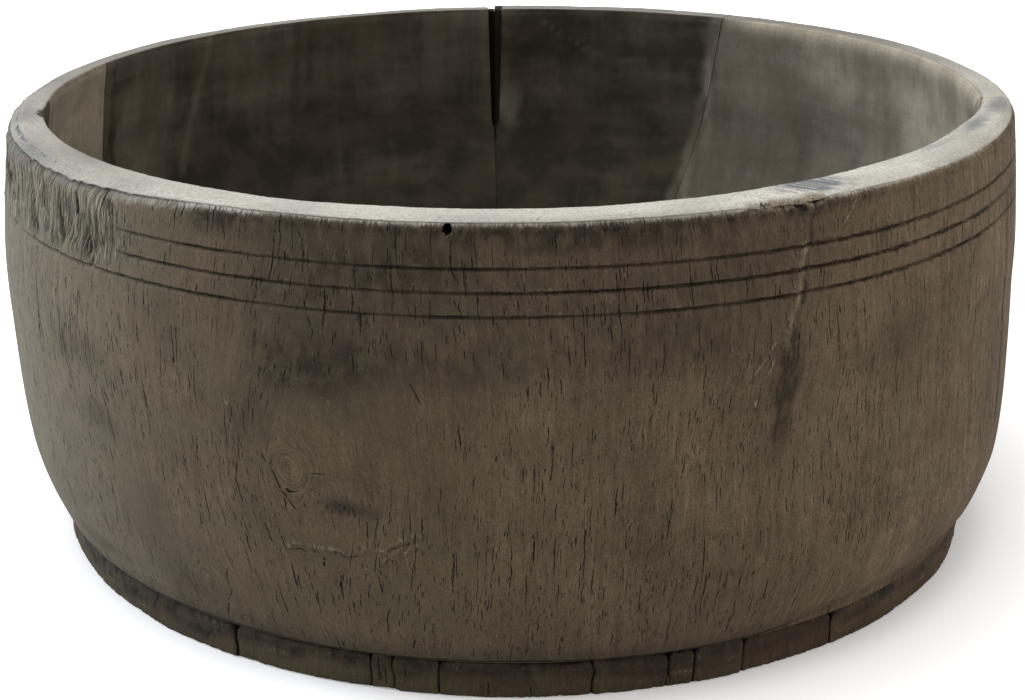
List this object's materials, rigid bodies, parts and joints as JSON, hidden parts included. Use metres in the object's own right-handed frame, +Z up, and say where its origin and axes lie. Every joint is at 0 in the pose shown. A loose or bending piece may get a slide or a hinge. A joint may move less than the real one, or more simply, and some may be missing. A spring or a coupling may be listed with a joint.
{
  "type": "wooden bowl",
  "caption": "Large round wooden bowl with an upright wall of hewn sections, incised lines under the rim, a let-in floor and a foot ring of short blocks.",
  "frame": {"origin": "on the ground under the middle of the bowl", "axes": "+Z up along the bowl's upright axis, -Y towards the pictured front, +X to its right"},
  "size_m": [0.4044, 0.4138, 0.173],
  "materials": {
    "weathered_wall_wood": "hewn and scraped, weathered grey, open pores",
    "foot_wood": "hewn, weathered, darker and rubbed",
    "floor_wood": "scraped smooth, dry",
    "hidden_wood": "split and whittled, unweathered"
  },
  "bodies": {
    "root": {"floor_board": "floor_wood", "foot_block_01": "foot_wood", "foot_block_02": "foot_wood", "foot_block_03": "foot_wood", "foot_block_04": "foot_wood", "foot_block_05": "foot_wood", "foot_block_06": "foot_wood", "foot_block_07": "foot_wood", "foot_block_08": "foot_wood", "foot_block_09": "foot_wood", "foot_block_10": "foot_wood", "foot_block_11": "foot_wood", "foot_block_12": "foot_wood", "foot_block_13": "foot_wood", "foot_block_14": "foot_wood", "foot_block_15": "foot_wood", "foot_block_16": "foot_wood", "foot_block_17": "foot_wood", "foot_block_18": "foot_wood", "foot_peg_01": "hidden_wood", "foot_peg_02": "hidden_wood", "foot_peg_03": "hidden_wood", "foot_peg_04": "hidden_wood", "foot_peg_05": "hidden_wood", "foot_peg_06": "hidden_wood", "foot_peg_07": "hidden_wood", "foot_peg_08": "hidden_wood", "foot_peg_09": "hidden_wood", "foot_peg_10": "hidden_wood", "foot_peg_11": "hidden_wood", "foot_peg_12": "hidden_wood", "foot_peg_13": "hidden_wood", "foot_peg_14": "hidden_wood", "foot_peg_15": "hidden_wood", "foot_peg_16": "hidden_wood", "foot_peg_17": "hidden_wood", "wall_back": "weathered_wall_wood", "wall_back_left": "weathered_wall_wood", "wall_front": "weathered_wall_wood", "wall_front_right": "weathered_wall_wood", "wall_left": "weathered_wall_wood", "wall_right": "weathered_wall_wood", "wall_tongue_1": "hidden_wood", "wall_tongue_2": "hidden_wood", "wall_tongue_3": "hidden_wood", "wall_tongue_4": "hidden_wood", "wall_tongue_5": "hidden_wood", "wall_tongue_6": "hidden_wood"}
  },
  "joints": []
}
